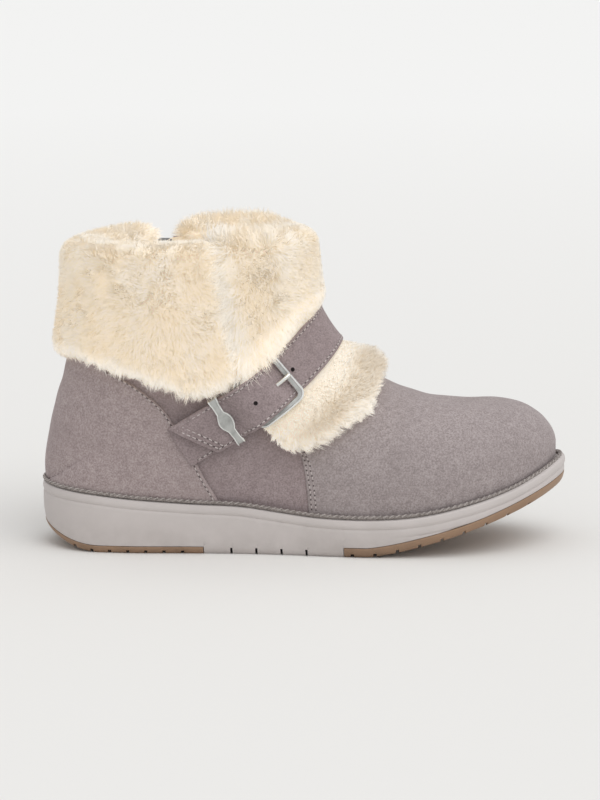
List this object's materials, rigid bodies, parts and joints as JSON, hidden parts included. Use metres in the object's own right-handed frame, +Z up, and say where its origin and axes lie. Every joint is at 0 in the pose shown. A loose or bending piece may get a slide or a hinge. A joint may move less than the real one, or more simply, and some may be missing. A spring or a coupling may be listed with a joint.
{
  "type": "sheepskin ankle boot",
  "caption": "Right ankle boot in suede with a turned-down fleece cuff, a buckled instep strap, a side zip and a light wedge sole on gum pads.",
  "frame": {"origin": "centre of the boot's bounding box, on the floor", "axes": "+X from heel to toe, +Y towards the inner side of the foot, +Z up"},
  "size_m": [0.265, 0.1064, 0.16],
  "materials": {
    "suede": "napped, grey mauve",
    "strap_suede": "napped, grey mauve",
    "fleece": "deep cream pile",
    "sole_foam": "matt, light warm grey",
    "gum": "satin gum brown",
    "steel": "satin",
    "zip_metal": "dark satin"
  },
  "bodies": {
    "boot": {"upper": "suede", "heel_counter": "suede", "cuff_rear": "fleece", "cuff_front": "fleece", "insole": "fleece", "welt": "sole_foam", "midsole": "sole_foam", "outsole_heel": "gum", "outsole_forefoot": "gum", "strap": "strap_suede", "strap_anchor": "strap_suede", "buckle_frame": "steel", "buckle_prong": "steel", "keeper": "steel", "zip_chain": "zip_metal", "zip_slider": "zip_metal"},
    "pull": {"zip_pull": "zip_metal"}
  },
  "joints": [
    {"name": "pull_hinge", "type": "hinge", "parent": "boot", "child": "pull", "pos_m": [-0.0715, 0.04612, 0.1455], "axis": [1, 0, 0], "range_deg": [0, 150]}
  ]
}
